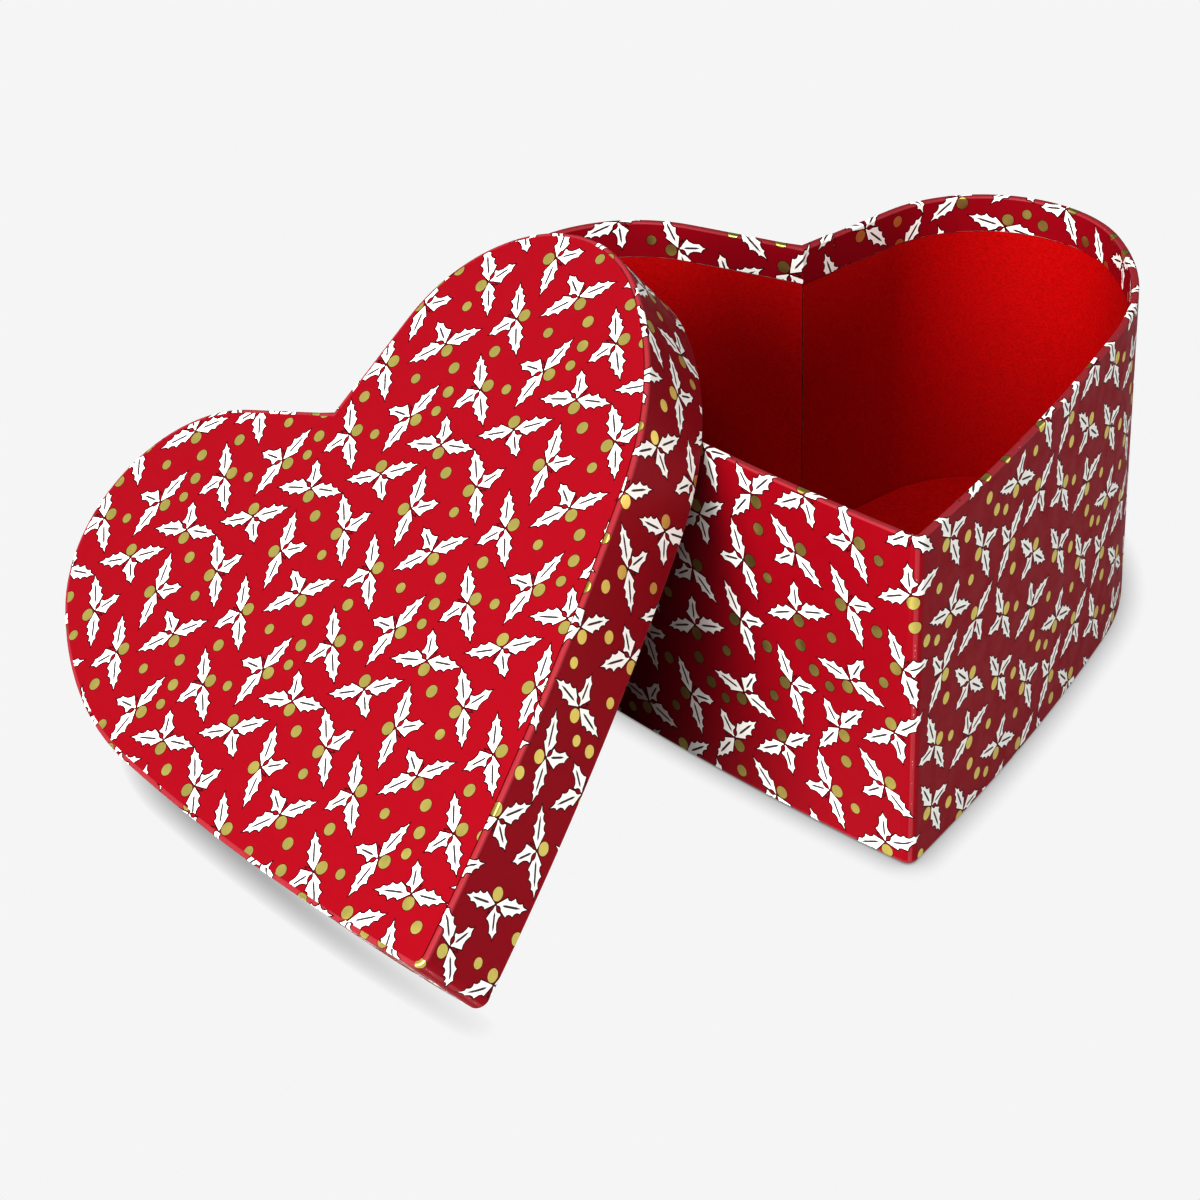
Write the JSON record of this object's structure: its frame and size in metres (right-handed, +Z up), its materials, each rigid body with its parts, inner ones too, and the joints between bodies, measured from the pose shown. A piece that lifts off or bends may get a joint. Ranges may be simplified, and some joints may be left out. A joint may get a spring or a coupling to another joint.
{
  "type": "heart-shaped gift box",
  "caption": "Heart-shaped rigid paperboard gift box: an open base with a lined well, and a shallow lift-off lid that leans against it.",
  "frame": {"origin": "middle of the base's underside, on the surface it stands on", "axes": "+Z up; +Y from the base's tip to its cleft, so -Y is the tip; +X to the right with the tip towards the viewer, and the lid leans on the -X side"},
  "size_m": [0.3368, 0.28, 0.1505],
  "materials": {
    "printed_paper": "red printed wrapping paper with a small leaf and berry pattern, semi-gloss",
    "red_lining": "plain red paper, matte",
    "grey_board": "raw grey board, hidden",
    "stay_tape": "gummed kraft tape, hidden"
  },
  "bodies": {
    "base": {"base_wrap": "printed_paper", "base_wall_board": "grey_board", "base_cleft_stay": "stay_tape", "base_wall_lining": "red_lining", "base_floor_board": "grey_board", "base_floor_pad": "grey_board", "base_floor_cover": "red_lining", "base_underside_sheet": "red_lining"},
    "lid": {"lid_side_wrap": "printed_paper", "lid_top_sheet": "printed_paper", "lid_wall_board": "grey_board", "lid_top_board": "grey_board", "lid_cleft_stay": "stay_tape", "lid_wall_lining": "red_lining", "lid_top_lining": "red_lining"}
  },
  "joints": [
    {"name": "lid_lift", "type": "slide", "parent": "base", "child": "lid", "axis": [-0.5523, -0.3079, 0.7747], "range_m": [0, 0.16]}
  ]
}
